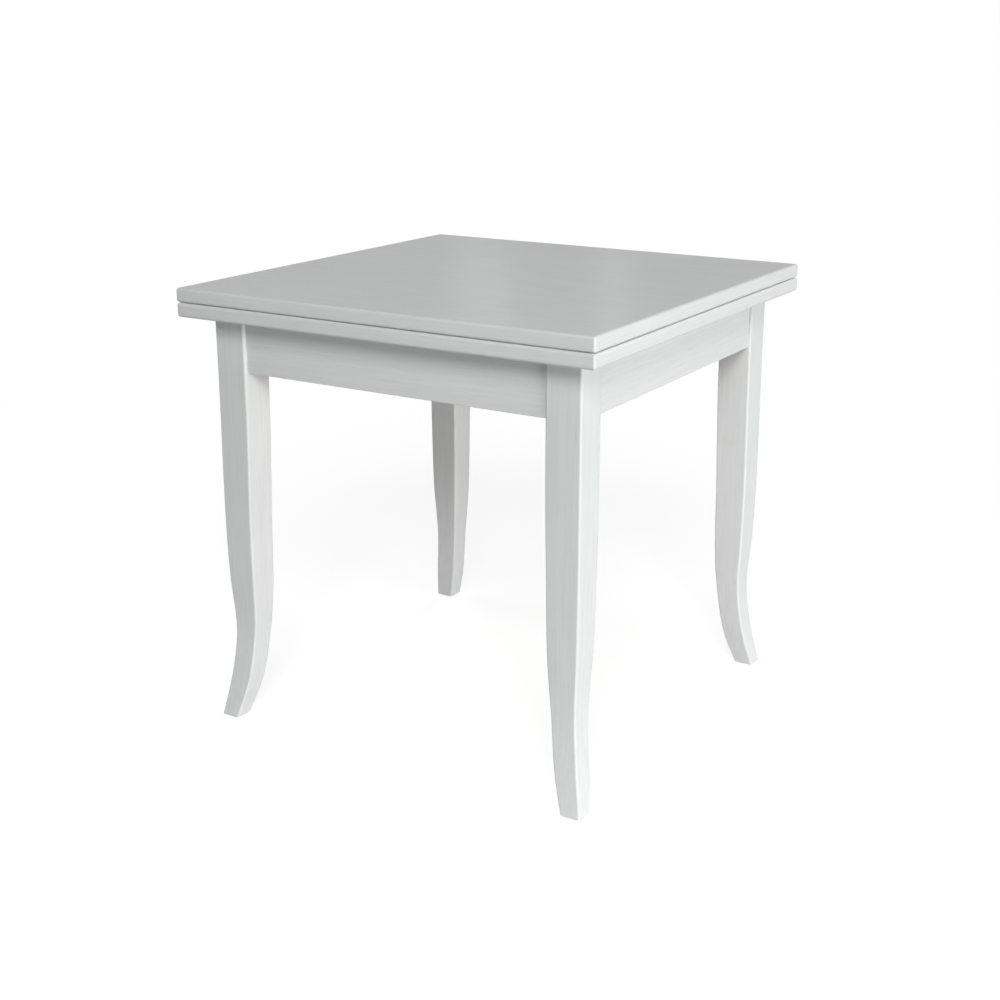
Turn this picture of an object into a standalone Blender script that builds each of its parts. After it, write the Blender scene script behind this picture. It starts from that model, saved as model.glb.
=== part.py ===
"""Square dining table whose top slides half its width and then opens like a book.

Two equal leaves lie one on the other. They slide towards +X on dovetailed guides, and the
upper leaf then swings over to -X on flush double-pin hinges, which doubles the table's length.
Metres, +Z up, origin on the floor under the middle of the closed table, front towards -Y.
"""
import math

import bmesh
import bpy
import numpy as np
from mathutils import Matrix, Vector

# Overall
TOP_SIDE = 0.800
TABLE_HEIGHT = 0.795
SEAT_GAP = 0.0003
SLIDE_CLEARANCE = 0.0005

# Leaves
LEAF_THICKNESS = 0.0246
LEAF_GAP = 0.0008
LEAF_OUTER_ROUND = 0.0055
LEAF_MEET_ROUND = 0.0050
LEAF_CORNER = 0.0040
LEAF_CORNER_LEAST = 0.0008
LEAF_ROUND_STEPS = 4

# Frame: sabre legs, aprons, corner braces and leg bolts
OVERHANG = 0.0435
LEG_WIDTH = 0.063
LEG_ARRIS = 0.0040
LEG_ARRIS_STEPS = 3
LEG_RINGS = 26
LEG_FLAT = 0.014
OUTER_FACE = ((0.000, 0.0196), (0.080, 0.0046), (0.160, -0.0042), (0.270, 0.0000))
INNER_FACE = ((0.000, 0.0168), (0.060, 0.0352), (0.160, 0.0500), (0.400, 0.0590))
APRON_HEIGHT = 0.093
APRON_THICKNESS = 0.022
APRON_REVEAL = 0.0055
APRON_ARRIS = 0.0030
BRACE_THICKNESS = 0.024
BRACE_MARGIN = 0.008
BOLT_RADIUS = 0.0040
BOLT_CLEARANCE = 0.0003
BOLT_IN_LEG = 0.038
BOLT_TAIL = 0.014
NUT_FLATS = 0.0130
NUT_HEIGHT = 0.0080
NUT_FLANGE_RADIUS = 0.0088
NUT_FLANGE = 0.0016
FELT_THICKNESS = 0.0015
FELT_RADIUS = 0.017
FELT_STRIP_LENGTH = 0.070
FELT_STRIP_WIDTH = 0.014
FELT_STRIP_ROUND = 0.0035
GLIDE_RADIUS = 0.0130
GLIDE_HEIGHT = 0.0025
GLIDE_ROUND = 0.0008
GLIDE_ROUND_STEPS = 3

# Guides that carry the sliding top
RAIL_WIDTH = 0.040
RAIL_HEIGHT = 0.034
RAIL_TO_BRACE = 0.018
TAIL_NECK = 0.014
TAIL_FOOT = 0.022
TAIL_DEPTH = 0.012
RUNNER_WIDTH = 0.034
RUNNER_HEAD = 0.014
STOP_LENGTH = 0.015
BEARER_WIDTH = 0.060
BEARER_HEIGHT = 0.036
BEARER_ARRIS = 0.0020

# Flush double-pin hinges between the leaves
HINGE_COUNT = 3
HINGE_INSET = 0.110
HINGE_ROUND_MARGIN = 0.0006
PLATE_LENGTH = 0.058
PLATE_WIDTH = 0.026
PLATE_THICKNESS = 0.0030
PLATE_RECESS = 0.0002
PLATE_CORNER = 0.0110
PLATE_CORNER_STEPS = 6
KNUCKLE_SPAN = 0.0100
LINK_WIDTH = 0.0090
PIN_RADIUS = 0.00125
PIN_CLEARANCE = 0.00015
PIN_END_GAP = 0.0010
SCREW_HOLE_RADIUS = 0.0022
SCREW_SINK_RADIUS = 0.0042
SCREW_PLACES = (0.020, 0.034, 0.047)

# Facets of round shapes, and the sharpest angle that is shaded smooth
ROUND_STEPS = 16
FINE_ROUND_STEPS = 24
FELT_ROUND_STEPS = 32
SMOOTH_ANGLE = math.radians(32)

# Heights, worked down from the top
LEAF_MEET = TABLE_HEIGHT - LEAF_THICKNESS
LOWER_LEAF_TOP = LEAF_MEET - LEAF_GAP
LOWER_LEAF_BASE = LOWER_LEAF_TOP - LEAF_THICKNESS
FELT_TOP = LOWER_LEAF_BASE - SEAT_GAP
FRAME_TOP = FELT_TOP - FELT_THICKNESS - SEAT_GAP
APRON_BASE = FRAME_TOP - APRON_HEIGHT
RUNNER_TOP = LOWER_LEAF_BASE - SEAT_GAP
RUNNER_BASE = RUNNER_TOP - RUNNER_HEAD
RAIL_TOP = RUNNER_BASE - SLIDE_CLEARANCE
RAIL_BASE = RAIL_TOP - RAIL_HEIGHT
BEARER_TOP = RAIL_BASE - SEAT_GAP
LEG_BASE = GLIDE_HEIGHT + SEAT_GAP

# Places in plan
SLIDE_TRAVEL = TOP_SIDE / 2
FRAME_HALF = TOP_SIDE / 2 - OVERHANG
LEG_INNER = FRAME_HALF - LEG_WIDTH
APRON_FACE = FRAME_HALF - APRON_REVEAL
APRON_INNER = APRON_FACE - APRON_THICKNESS
FLAT_SUM = 2 * LEG_INNER + LEG_FLAT / math.sqrt(2)
BRACE_FRONT_SUM = FLAT_SUM - SEAT_GAP * math.sqrt(2)
BRACE_BACK_SUM = BRACE_FRONT_SUM - BRACE_THICKNESS * math.sqrt(2)
BRACE_END = APRON_INNER - SEAT_GAP
BRACE_TIP = BRACE_BACK_SUM - BRACE_END
BOLT_HEIGHT = FRAME_TOP - APRON_HEIGHT / 2
RAIL_PLACE = BRACE_TIP - RAIL_TO_BRACE - RAIL_WIDTH / 2
RAIL_HALF = APRON_INNER - SEAT_GAP
RUNNER_START = -RAIL_HALF + STOP_LENGTH + SLIDE_CLEARANCE
RUNNER_END = RAIL_HALF - STOP_LENGTH - SLIDE_CLEARANCE - SLIDE_TRAVEL
HINGE_EDGE = -TOP_SIDE / 2
PIN_INSET = LEAF_MEET_ROUND - HINGE_ROUND_MARGIN
KNUCKLE_RADIUS = PIN_INSET - PLATE_RECESS
LINK_RADIUS = KNUCKLE_RADIUS - PLATE_RECESS
LINK_REACH = 2 * PIN_INSET + LEAF_GAP
HINGE_PLACES = np.linspace(-TOP_SIDE / 2 + HINGE_INSET, TOP_SIDE / 2 - HINGE_INSET, HINGE_COUNT)

CORNERS = ("back_right", "back_left", "front_left", "front_right")
SIDES = ("back", "left", "front", "right")


def clear_scene():
    for old in list(bpy.data.objects):
        bpy.data.objects.remove(old, do_unlink=True)


def finish_of(name, colour, roughness, metallic=0.0):
    """Principled material of one finish."""
    made = bpy.data.materials.new(name)
    made.use_nodes = True
    shader = made.node_tree.nodes["Principled BSDF"]
    shader.inputs["Base Color"].default_value = (*colour, 1.0)
    shader.inputs["Roughness"].default_value = roughness
    shader.inputs["Metallic"].default_value = metallic
    return made


def to_mesh(bm, name):
    """Closes a bmesh off into a mesh with outward faces and smooth rounds."""
    bmesh.ops.recalc_face_normals(bm, faces=bm.faces)
    mesh = bpy.data.meshes.new(name)
    bm.to_mesh(mesh)
    bm.free()
    mesh.shade_smooth()
    mesh.set_sharp_from_angle(angle=SMOOTH_ANGLE)
    return mesh


def prism(name, outline, low, high, axis="Z"):
    """Extrudes an outline from low to high along an axis.

    Outline points are (x, y) along Z, (y, z) along X and (x, z) along Y.
    """
    spots = {
        "X": lambda a, b: (low, a, b),
        "Y": lambda a, b: (a, low, b),
        "Z": lambda a, b: (a, b, low),
    }
    way = {"X": (1, 0, 0), "Y": (0, 1, 0), "Z": (0, 0, 1)}
    bm = bmesh.new()
    face = bm.faces.new([bm.verts.new(spots[axis](a, b)) for a, b in outline])
    grown = bmesh.ops.extrude_face_region(bm, geom=[face])
    moved = [item for item in grown["geom"] if isinstance(item, bmesh.types.BMVert)]
    bmesh.ops.translate(bm, verts=moved, vec=Vector(way[axis]) * (high - low))
    return to_mesh(bm, name)


def block(name, low, high, arris=0.0, steps=2, chosen=None):
    """Box between two corners, with the chosen edges (all of them by default) rounded."""
    bm = bmesh.new()
    bmesh.ops.create_cube(bm, size=1.0)
    size = Vector(high) - Vector(low)
    bmesh.ops.scale(bm, verts=bm.verts, vec=size)
    bmesh.ops.translate(bm, verts=bm.verts, vec=(Vector(high) + Vector(low)) / 2)
    if arris:
        edges = [edge for edge in bm.edges if chosen is None or chosen(edge)]
        bmesh.ops.bevel(
            bm, geom=edges, offset=arris, segments=steps, profile=0.5, affect="EDGES", clamp_overlap=True
        )
    return to_mesh(bm, name)


def rod(name, radius, start, end, steps=ROUND_STEPS):
    """Round bar between two points."""
    start = Vector(start)
    run = Vector(end) - start
    bm = bmesh.new()
    bmesh.ops.create_cone(
        bm, cap_ends=True, segments=steps, radius1=radius, radius2=radius, depth=run.length
    )
    turn = run.to_track_quat("Z", "Y").to_matrix().to_4x4()
    bmesh.ops.transform(bm, verts=bm.verts, matrix=Matrix.Translation(start + run / 2) @ turn)
    return to_mesh(bm, name)


def loft(name, rings, closed=False):
    """Skins rings of points of equal count; a closed loft joins its last ring to its first."""
    bm = bmesh.new()
    loops = [[bm.verts.new(spot) for spot in ring] for ring in rings]
    pairs = list(zip(loops, loops[1:]))
    if closed:
        pairs.append((loops[-1], loops[0]))
    for lower, upper in pairs:
        for i in range(len(lower)):
            j = (i + 1) % len(lower)
            bm.faces.new((lower[i], lower[j], upper[j], upper[i]))
    if not closed:
        bm.faces.new(loops[0])
        bm.faces.new(loops[-1])
    return to_mesh(bm, name)


def carve(name, mesh, cutters, operation="DIFFERENCE"):
    """Cuts a mesh with others, one Boolean after another, and returns the result."""
    body = bpy.data.objects.new(name + "_blank", mesh)
    bpy.context.collection.objects.link(body)
    helpers = [body]
    for cutter_mesh in cutters:
        cutter = bpy.data.objects.new(name + "_cutter", cutter_mesh)
        bpy.context.collection.objects.link(cutter)
        helpers.append(cutter)
        modifier = body.modifiers.new("cut", "BOOLEAN")
        modifier.operation = operation
        modifier.solver = "EXACT"
        modifier.object = cutter
    graph = bpy.context.evaluated_depsgraph_get()
    made = bpy.data.meshes.new_from_object(body.evaluated_get(graph))
    made.name = name
    for helper in helpers:
        bpy.data.objects.remove(helper, do_unlink=True)
    made.shade_smooth()
    made.set_sharp_from_angle(angle=SMOOTH_ANGLE)
    return made


def joint_empty(name, place, parent=None):
    """Empty on a joint's axis, which carries the pieces that move with it."""
    empty = bpy.data.objects.new(name, None)
    bpy.context.collection.objects.link(empty)
    empty.parent = parent
    empty.location = Vector(place) - (world_place(parent) if parent else Vector())
    return empty


def world_place(empty):
    place = empty.location.copy()
    while empty.parent:
        empty = empty.parent
        place += empty.location
    return place


def piece(name, mesh, finish, place=(0, 0, 0), turn=(0, 0, 0), carrier=None):
    """Puts a mesh in the scene as one named sub-part, on a carrier if it moves."""
    if not mesh.materials:
        mesh.materials.append(finish)
    made = bpy.data.objects.new(name, mesh)
    bpy.context.collection.objects.link(made)
    made.location = Vector(place)
    made.rotation_euler = turn
    if carrier:
        made.parent = carrier
        made.location -= world_place(carrier)
    return made


def four_round(stem, names, mesh, finish):
    """Four like pieces, each a quarter turn on about the table's middle."""
    for quarter, name in enumerate(names):
        piece(f"{stem}_{name}", mesh.copy(), finish, turn=(0, 0, quarter * math.pi / 2))


def arc(centre, radius, first, last, steps):
    """Points on a circle from one angle to another, in degrees."""
    angles = np.radians(np.linspace(first, last, steps + 1))
    return [(centre[0] + radius * math.cos(a), centre[1] + radius * math.sin(a)) for a in angles]


def circle(centre, radii, angles, height):
    """Ring of points at a height, with its own radius at each angle."""
    return [
        (centre[0] + r * math.cos(a), centre[1] + r * math.sin(a), height)
        for r, a in zip(radii, angles)
    ]


def full_turn(steps):
    """Angles of evenly spaced points on a circle."""
    return np.linspace(0.0, 2 * math.pi, steps, endpoint=False)


def face_offset(stations, height):
    """Offset of a leg face at a height, on a smooth curve through its stations."""
    heights, offsets = zip(*stations)
    slopes = np.gradient(offsets, heights)
    slopes[-1] = 0.0
    i = int(np.clip(np.searchsorted(heights, height) - 1, 0, len(heights) - 2))
    span = heights[i + 1] - heights[i]
    t = min((height - heights[i]) / span, 1.0)
    keep = 2 * t**3 - 3 * t**2 + 1
    leave = (t**3 - 2 * t**2 + t) * span
    reach = (t**3 - t**2) * span
    return keep * offsets[i] + (1 - keep) * offsets[i + 1] + leave * slopes[i] + reach * slopes[i + 1]


def rounded_ring(low, high, ease, steps, height):
    """Rectangle between two corners in plan, with its corners rounded, at a height."""
    left, front = low[0] + ease, low[1] + ease
    right, back = high[0] - ease, high[1] - ease
    ring = []
    for quarter, centre in enumerate(((right, back), (left, back), (left, front), (right, front))):
        ring += arc(centre, ease, 90 * quarter, 90 * quarter + 90, steps)
    return [(x, y, height) for x, y in ring]


def leg_ring(height):
    """Square section of the back right leg, with rounded arrises, at a height."""
    outer = FRAME_HALF + face_offset((*OUTER_FACE, (APRON_BASE, 0.0)), height)
    inner = FRAME_HALF - face_offset((*INNER_FACE, (APRON_BASE, LEG_WIDTH)), height)
    return rounded_ring((inner, inner), (outer, outer), LEG_ARRIS, LEG_ARRIS_STEPS, height)


def diagonal(plan_sum, height):
    """Point on the corner's diagonal whose x and y add up to plan_sum."""
    return Vector((plan_sum / 2, plan_sum / 2, height))


def leg_mesh():
    """Sabre leg: a square block at the aprons, sawn to the same sweep on two faces below."""
    heights = [*np.linspace(LEG_BASE, APRON_BASE, LEG_RINGS), FRAME_TOP]
    sawn = loft("leg", [leg_ring(height) for height in heights])
    past = LEG_WIDTH
    corner = FLAT_SUM - LEG_INNER
    inside = LEG_INNER - past
    flat = [(inside, corner + past), (inside, inside), (corner + past, inside)]
    flat_cut = prism("flat", flat, APRON_BASE, FRAME_TOP + past, "Z")
    into_leg = diagonal(FLAT_SUM + (BOLT_IN_LEG + SLIDE_CLEARANCE) * math.sqrt(2), BOLT_HEIGHT)
    bore = rod("bore", BOLT_RADIUS + BOLT_CLEARANCE, diagonal(FLAT_SUM - past, BOLT_HEIGHT), into_leg)
    return carve("leg", sawn, [flat_cut, bore])


def apron_mesh():
    """Board of the back side, between two legs, with its lower arrises eased."""
    half = LEG_INNER - SEAT_GAP
    return block(
        "apron",
        (-half, APRON_INNER, APRON_BASE),
        (half, APRON_FACE, FRAME_TOP),
        APRON_ARRIS,
        chosen=lambda edge: all(vert.co.z < APRON_BASE + SEAT_GAP for vert in edge.verts)
        and abs(edge.verts[0].co.x - edge.verts[1].co.x) > half,
    )


def brace_mesh():
    """Mitred block across the back right corner, screwed to both aprons and bored for the bolt."""
    front = BRACE_FRONT_SUM - BRACE_END
    outline = [(front, BRACE_END), (BRACE_TIP, BRACE_END), (BRACE_END, BRACE_TIP), (BRACE_END, front)]
    blank = prism("brace", outline, APRON_BASE + BRACE_MARGIN, FRAME_TOP - BRACE_MARGIN)
    bore = rod(
        "bore",
        BOLT_RADIUS + BOLT_CLEARANCE,
        diagonal(BRACE_BACK_SUM - BOLT_TAIL, BOLT_HEIGHT),
        diagonal(BRACE_FRONT_SUM + BOLT_TAIL, BOLT_HEIGHT),
    )
    return carve("brace", blank, [bore])


def bolt_mesh():
    """Hanger bolt that ties the leg to the brace."""
    tip = diagonal(FLAT_SUM + BOLT_IN_LEG * math.sqrt(2), BOLT_HEIGHT)
    tail = diagonal(BRACE_BACK_SUM - BOLT_TAIL * math.sqrt(2), BOLT_HEIGHT)
    return rod("leg_bolt", BOLT_RADIUS, tail, tip)


def nut_mesh():
    """Flanged hexagon nut, drawn as rings about the bolt's axis and turned onto it."""
    around = full_turn(FINE_ROUND_STEPS)
    hexagon = [NUT_FLATS / 2 / math.cos((a % (math.pi / 3)) - math.pi / 6) for a in around]
    flange = [NUT_FLANGE_RADIUS] * len(around)
    hole = [BOLT_RADIUS + BOLT_CLEARANCE] * len(around)
    outline = (
        (hole, 0.0),
        (flange, 0.0),
        (flange, NUT_FLANGE),
        (hexagon, NUT_FLANGE),
        (hexagon, NUT_HEIGHT),
        (hole, NUT_HEIGHT),
    )
    rings = [circle((0.0, 0.0), radii, around, rise) for radii, rise in outline]
    made = loft("leg_nut", rings, closed=True)
    seat = diagonal(BRACE_BACK_SUM - SEAT_GAP * math.sqrt(2), BOLT_HEIGHT)
    turn = Vector((-1, -1, 0)).to_track_quat("Z", "Y").to_matrix().to_4x4()
    made.transform(Matrix.Translation(seat) @ turn)
    return made


def felt_mesh():
    """Felt disc on the leg's top, which the leaf slides on."""
    middle = FRAME_HALF - LEG_WIDTH / 2
    base = (middle, middle, FRAME_TOP + SEAT_GAP)
    return rod("felt", FELT_RADIUS, base, (middle, middle, FELT_TOP), FELT_ROUND_STEPS)


def glide_mesh():
    """Nylon glide under the foot, with a rounded rim."""
    outer = FRAME_HALF + face_offset((*OUTER_FACE, (APRON_BASE, 0.0)), 0.0)
    inner = FRAME_HALF - face_offset((*INNER_FACE, (APRON_BASE, LEG_WIDTH)), 0.0)
    middle = (outer + inner) / 2
    around = full_turn(FINE_ROUND_STEPS)
    rim = (GLIDE_RADIUS - GLIDE_ROUND, GLIDE_ROUND)
    profile = arc(rim, GLIDE_ROUND, -90, 0, GLIDE_ROUND_STEPS)
    profile.append((GLIDE_RADIUS, GLIDE_HEIGHT))
    rings = [circle((middle, middle), [r] * len(around), around, z) for r, z in profile]
    return loft("glide", rings)


def tail_outline(extra):
    """Dovetail hanging from the runner's head: its corners from the neck down to the foot."""
    neck = TAIL_NECK / 2 + extra
    foot = TAIL_FOOT / 2 + extra
    base = RUNNER_BASE - TAIL_DEPTH - extra
    return [(-neck, RUNNER_BASE), (-foot, base), (foot, base), (neck, RUNNER_BASE)]


def rail_outline():
    """Guide rail section with the dovetail groove in its top."""
    half = RAIL_WIDTH / 2
    groove = tail_outline(SLIDE_CLEARANCE)
    lip = [(y, min(z, RAIL_TOP)) for y, z in groove]
    return [(-half, RAIL_BASE), (half, RAIL_BASE), (half, RAIL_TOP), *reversed(lip), (-half, RAIL_TOP)]


def runner_outline():
    """Runner section: a flat head under the leaf and a dovetail tongue below it."""
    half = RUNNER_WIDTH / 2
    head = [(half, RUNNER_BASE), (half, RUNNER_TOP), (-half, RUNNER_TOP), (-half, RUNNER_BASE)]
    return head + tail_outline(0.0)


def stop_outline():
    """Plug glued into the end of the groove, level with the rail."""
    return [(y, min(z, RAIL_TOP)) for y, z in tail_outline(SLIDE_CLEARANCE - SEAT_GAP)]


def build_frame(lacquer, beech, steel, felt, nylon):
    four_round("leg", CORNERS, leg_mesh(), lacquer)
    four_round("apron", SIDES, apron_mesh(), lacquer)
    four_round("corner_brace", CORNERS, brace_mesh(), beech)
    four_round("leg_bolt", CORNERS, bolt_mesh(), steel)
    four_round("leg_nut", CORNERS, nut_mesh(), steel)
    four_round("felt_pad", CORNERS, felt_mesh(), felt)
    four_round("foot_glide", CORNERS, glide_mesh(), nylon)
    strip_middle = (APRON_FACE + APRON_INNER) / 2
    bearer_reach = APRON_INNER - SEAT_GAP
    for name, side in (("front", -1), ("back", 1)):
        strip = block(
            "felt_strip",
            (-FELT_STRIP_LENGTH / 2, -FELT_STRIP_WIDTH / 2, FRAME_TOP + SEAT_GAP),
            (FELT_STRIP_LENGTH / 2, FELT_STRIP_WIDTH / 2, FELT_TOP),
            FELT_STRIP_ROUND,
            chosen=lambda edge: abs(edge.verts[0].co.z - edge.verts[1].co.z) > FELT_THICKNESS / 2,
        )
        piece(f"felt_strip_{name}", strip, felt, (0, side * strip_middle, 0))
        rail = prism("guide_rail", rail_outline(), -RAIL_HALF, RAIL_HALF, "X")
        piece(f"guide_rail_{name}", rail, beech, (0, side * RAIL_PLACE, 0))
        for end, start in (("left", -RAIL_HALF), ("right", RAIL_HALF - STOP_LENGTH)):
            stop = prism("guide_stop", stop_outline(), start, start + STOP_LENGTH, "X")
            piece(f"guide_stop_{name}_{end}", stop, beech, (0, side * RAIL_PLACE, 0))
    bearer = block(
        "centre_bearer",
        (-BEARER_WIDTH / 2, -bearer_reach, BEARER_TOP - BEARER_HEIGHT),
        (BEARER_WIDTH / 2, bearer_reach, BEARER_TOP),
        BEARER_ARRIS,
        chosen=lambda edge: abs(edge.verts[0].co.y - edge.verts[1].co.y) > bearer_reach,
    )
    piece("centre_bearer", bearer, beech)


def plate_mesh():
    """Hinge plate: a knuckle round its pin at the leaf's edge, and a screwed tongue let in behind.

    Its own frame has x inwards from the leaf's edge, z = 0 on the leaf's meeting face.
    """
    half = PLATE_WIDTH / 2
    knuckle = arc((PIN_INSET, -PIN_INSET), KNUCKLE_RADIUS, 90, 270, ROUND_STEPS // 2)
    outline = [
        *knuckle,
        (KNUCKLE_SPAN, -PIN_INSET - KNUCKLE_RADIUS),
        (KNUCKLE_SPAN, -PLATE_RECESS - PLATE_THICKNESS),
        (PLATE_LENGTH, -PLATE_RECESS - PLATE_THICKNESS),
        (PLATE_LENGTH, -PLATE_RECESS),
    ]
    blank = prism("hinge_plate", outline, -half, half, "Y")
    bm = bmesh.new()
    bm.from_mesh(blank)
    ends = [edge for edge in bm.edges if all(vert.co.x > PLATE_LENGTH - SEAT_GAP for vert in edge.verts)]
    ends = [edge for edge in ends if abs(edge.verts[0].co.y - edge.verts[1].co.y) < SEAT_GAP]
    bmesh.ops.bevel(
        bm, geom=ends, offset=PLATE_CORNER, segments=PLATE_CORNER_STEPS, profile=0.5, affect="EDGES"
    )
    blank = to_mesh(bm, "hinge_plate")
    past = PLATE_THICKNESS
    slot_half = LINK_WIDTH / 2 + SEAT_GAP
    slot_low = (-past, -slot_half, -PIN_INSET - KNUCKLE_RADIUS - past)
    slot_high = (PIN_INSET + LINK_RADIUS + SEAT_GAP, slot_half, past)
    cutters = [block("slot", slot_low, slot_high)]
    reach = half + past
    pin_hole = PIN_RADIUS + PIN_CLEARANCE
    cutters.append(rod("hole", pin_hole, (PIN_INSET, -reach, -PIN_INSET), (PIN_INSET, reach, -PIN_INSET)))
    for place in SCREW_PLACES:
        cutters.append(countersink((place, 0.0)))
    return carve("hinge_plate", blank, cutters)


def countersink(place):
    """Cutter for a countersunk screw hole through the hinge plate."""
    around = full_turn(ROUND_STEPS)
    past = PLATE_THICKNESS
    taper = SCREW_SINK_RADIUS - SCREW_HOLE_RADIUS
    profile = (
        (SCREW_HOLE_RADIUS, -PLATE_RECESS - PLATE_THICKNESS - past),
        (SCREW_HOLE_RADIUS, -PLATE_RECESS - taper),
        (SCREW_SINK_RADIUS + past, -PLATE_RECESS + past),
    )
    rings = [circle(place, [r] * len(around), around, z) for r, z in profile]
    return loft("countersink", rings)


def link_mesh():
    """Link between the two pins of a hinge, upright when the table is shut; origin on its lower pin."""
    half = LINK_WIDTH / 2
    outline = arc((0, 0), LINK_RADIUS, 180, 360, ROUND_STEPS // 2)
    outline += arc((0, LINK_REACH), LINK_RADIUS, 0, 180, ROUND_STEPS // 2)
    blank = prism("hinge_link", outline, -half, half, "Y")
    hole = PIN_RADIUS + PIN_CLEARANCE
    holes = [rod("hole", hole, (0, -2 * half, z), (0, 2 * half, z)) for z in (0.0, LINK_REACH)]
    return carve("hinge_link", blank, holes)


def leaf_ring(out, height):
    """Outline of a leaf at a height, where its face stands out, or in where out is negative."""
    half = TOP_SIDE / 2 + out
    ease = max(LEAF_CORNER + out, LEAF_CORNER_LEAST)
    return rounded_ring((-out, -half), (TOP_SIDE + out, half), ease, LEAF_ROUND_STEPS, height)


def leaf_mesh():
    """Leaf, rounder on its outer face, with three hinge mortises; same frame as the hinge plate."""
    outer_centre = (-LEAF_OUTER_ROUND, LEAF_OUTER_ROUND - LEAF_THICKNESS)
    profile = arc(outer_centre, LEAF_OUTER_ROUND, -90, 0, LEAF_ROUND_STEPS)
    profile += arc((-LEAF_MEET_ROUND, -LEAF_MEET_ROUND), LEAF_MEET_ROUND, 0, 90, LEAF_ROUND_STEPS)
    blank = loft("leaf", [leaf_ring(out, height) for out, height in profile])
    cutters = []
    past = LEAF_MEET_ROUND
    wide = PLATE_WIDTH / 2 + SEAT_GAP
    for place in HINGE_PLACES:
        tongue = PLATE_RECESS + PLATE_THICKNESS + SEAT_GAP
        end = PLATE_LENGTH + SEAT_GAP
        round_centre = end - PLATE_CORNER
        outline = [(-past, place - wide)]
        outline += arc((round_centre, place - wide + PLATE_CORNER), PLATE_CORNER, -90, 0, PLATE_CORNER_STEPS)
        outline += arc((round_centre, place + wide - PLATE_CORNER), PLATE_CORNER, 0, 90, PLATE_CORNER_STEPS)
        outline.append((-past, place + wide))
        cutters.append(prism("tongue", outline, -tongue, past))
        depth = PIN_INSET + KNUCKLE_RADIUS + SEAT_GAP
        knuckle_low = (-past, place - wide, -depth)
        knuckle_high = (KNUCKLE_SPAN + SEAT_GAP, place + wide, past)
        cutters.append(block("knuckle", knuckle_low, knuckle_high))
    return carve("leaf", blank, cutters)


def build_top(lacquer, beech, brass, steel):
    lower_pin = (HINGE_EDGE + PIN_INSET, 0.0, LOWER_LEAF_TOP - PIN_INSET)
    upper_pin = (HINGE_EDGE + PIN_INSET, 0.0, LEAF_MEET + PIN_INSET)
    slide = joint_empty("top_slide_axis", (0.0, 0.0, RUNNER_BASE))
    link = joint_empty("hinge_link_axis", lower_pin, slide)
    fold = joint_empty("leaf_fold_axis", upper_pin, link)
    upside_down = (math.pi, 0.0, 0.0)
    leaf = leaf_mesh()
    piece("lower_leaf", leaf.copy(), lacquer, (HINGE_EDGE, 0.0, LOWER_LEAF_TOP), carrier=slide)
    piece("upper_leaf", leaf.copy(), lacquer, (HINGE_EDGE, 0.0, LEAF_MEET), upside_down, fold)
    for name, side in (("front", -1), ("back", 1)):
        runner = prism("runner", runner_outline(), RUNNER_START, RUNNER_END, "X")
        piece(f"runner_{name}", runner, beech, (0.0, side * RAIL_PLACE, 0.0), carrier=slide)
    plate = plate_mesh()
    bar = link_mesh()
    pin_half = PLATE_WIDTH / 2 - PIN_END_GAP
    pin = rod("hinge_pin", PIN_RADIUS, (0.0, -pin_half, 0.0), (0.0, pin_half, 0.0))
    for number, y in enumerate(HINGE_PLACES, start=1):
        low_spot = (HINGE_EDGE, y, LOWER_LEAF_TOP)
        high_spot = (HINGE_EDGE, y, LEAF_MEET)
        piece(f"hinge_plate_lower_{number}", plate.copy(), brass, low_spot, carrier=slide)
        piece(f"hinge_plate_upper_{number}", plate.copy(), brass, high_spot, upside_down, fold)
        low_axis = (lower_pin[0], y, lower_pin[2])
        high_axis = (upper_pin[0], y, upper_pin[2])
        piece(f"hinge_link_{number}", bar.copy(), brass, low_axis, carrier=link)
        piece(f"hinge_pin_lower_{number}", pin.copy(), steel, low_axis, carrier=link)
        piece(f"hinge_pin_upper_{number}", pin.copy(), steel, high_axis, carrier=link)


clear_scene()
white_lacquer = finish_of("white_lacquer", (0.79, 0.80, 0.80), 0.35)
beech_wood = finish_of("beech_wood", (0.62, 0.42, 0.25), 0.55)
zinc_steel = finish_of("zinc_steel", (0.62, 0.62, 0.60), 0.35, 1.0)
nickel_brass = finish_of("nickel_brass", (0.66, 0.63, 0.58), 0.30, 1.0)
grey_felt = finish_of("grey_felt", (0.42, 0.41, 0.39), 0.95)
white_nylon = finish_of("white_nylon", (0.78, 0.77, 0.74), 0.45)
build_frame(white_lacquer, beech_wood, zinc_steel, grey_felt, white_nylon)
build_top(white_lacquer, beech_wood, nickel_brass, zinc_steel)
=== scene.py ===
"""Looks of a square dining table whose top slides aside and opens like a book.

White satin lacquer outside, beech braces and guides below the top, flush nickel hinges between the leaves.
"""
import math

import bpy
from mathutils import Matrix, Vector


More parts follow.
